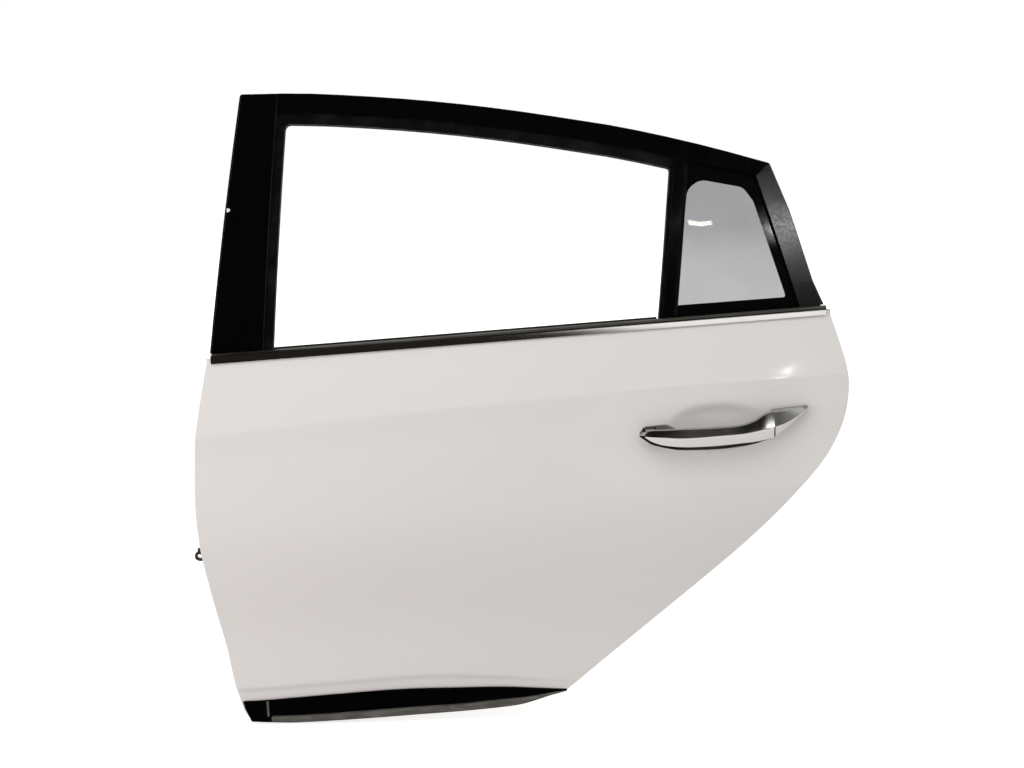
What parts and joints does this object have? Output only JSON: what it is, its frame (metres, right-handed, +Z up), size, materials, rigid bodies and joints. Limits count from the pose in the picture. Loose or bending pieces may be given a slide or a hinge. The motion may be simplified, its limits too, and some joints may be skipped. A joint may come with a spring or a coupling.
{
  "type": "car door shell",
  "caption": "Rear passenger car door with window frame, quarter glass, pull handle, latch and check arm.",
  "frame": {"origin": "middle of the lower hinge's bolting face on the front shut face", "axes": "+X towards the rear of the car, +Y inboard, +Z up"},
  "size_m": [1.1425, 0.2505, 1.102],
  "materials": {
    "paint": "pearl white paint under clear coat",
    "satin_black": "satin black",
    "gloss_black": "high gloss",
    "rubber": "matte",
    "plastic": "fine grain",
    "chrome": "bright",
    "privacy_glass": "grey",
    "clear_glass": "green tint",
    "zinc_steel": "zinc plated"
  },
  "bodies": {
    "door": {"outer_panel": "paint", "inner_panel": "paint", "window_frame": "satin_black", "division_bar": "gloss_black", "glass_run_channel": "rubber", "b_pillar_applique": "gloss_black", "header_moulding": "gloss_black", "c_pillar_applique": "gloss_black", "quarter_glass_seal": "rubber", "quarter_glass": "privacy_glass", "regulator_rail": "zinc_steel", "regulator_motor": "plastic", "belt_moulding": "chrome", "outer_belt_seal": "rubber", "outer_belt_reinforcement": "zinc_steel", "inner_belt_reinforcement": "zinc_steel", "inner_belt_seal": "rubber", "sill_garnish": "plastic", "handle_pivot_pin": "zinc_steel", "handle_cap": "chrome", "handle_gasket_front": "rubber", "handle_chassis": "plastic", "latch_case": "plastic", "check_box": "plastic", "hinge_reinforcement_lower": "zinc_steel", "hinge_reinforcement_upper": "zinc_steel", "impact_beam": "zinc_steel", "beam_bracket_front": "zinc_steel", "beam_bracket_rear": "zinc_steel", "sash_bracket_front": "zinc_steel", "sash_bracket_rear": "zinc_steel", "door_weatherstrip": "rubber"},
    "window": {"drop_glass": "clear_glass", "glass_carrier": "plastic"},
    "handle": {"handle_grip": "chrome", "grip_insert": "paint"},
    "release": {"release_lever": "zinc_steel"},
    "claw": {"latch_claw": "zinc_steel"},
    "check": {"check_arm": "zinc_steel"}
  },
  "joints": [
    {"name": "window_lift", "type": "hinge", "parent": "door", "child": "window", "pos_m": [0.00851, 1.9723, 0.1217], "axis": [-0.9976, 0, 0.0698], "range_deg": [0, 11.4]},
    {"name": "handle_pull", "type": "hinge", "parent": "door", "child": "handle", "pos_m": [0.72903, -0.04043, 0.35368], "axis": [0.044, 0, -0.999], "range_deg": [0, 7], "stiffness_Nm_per_rad": 20, "springref_deg": -1.72},
    {"name": "release_turn", "type": "hinge", "parent": "door", "child": "release", "pos_m": [0.97344, -0.00417, 0.36444], "axis": [-0.044, 0, 0.999], "range_deg": [0, 43.5]},
    {"name": "claw_turn", "type": "hinge", "parent": "door", "child": "claw", "pos_m": [1.0216, 0.008, 0.399], "axis": [1, 0, 0], "range_deg": [0, 65], "stiffness_Nm_per_rad": 0.5},
    {"name": "check_slide", "type": "slide", "parent": "door", "child": "check", "axis": [1, 0, 0], "range_m": [-0.06, 0.045]}
  ],
  "couplings": [
    {"joint": "release_turn", "follows": "handle_pull", "ratio": 6.2}
  ]
}
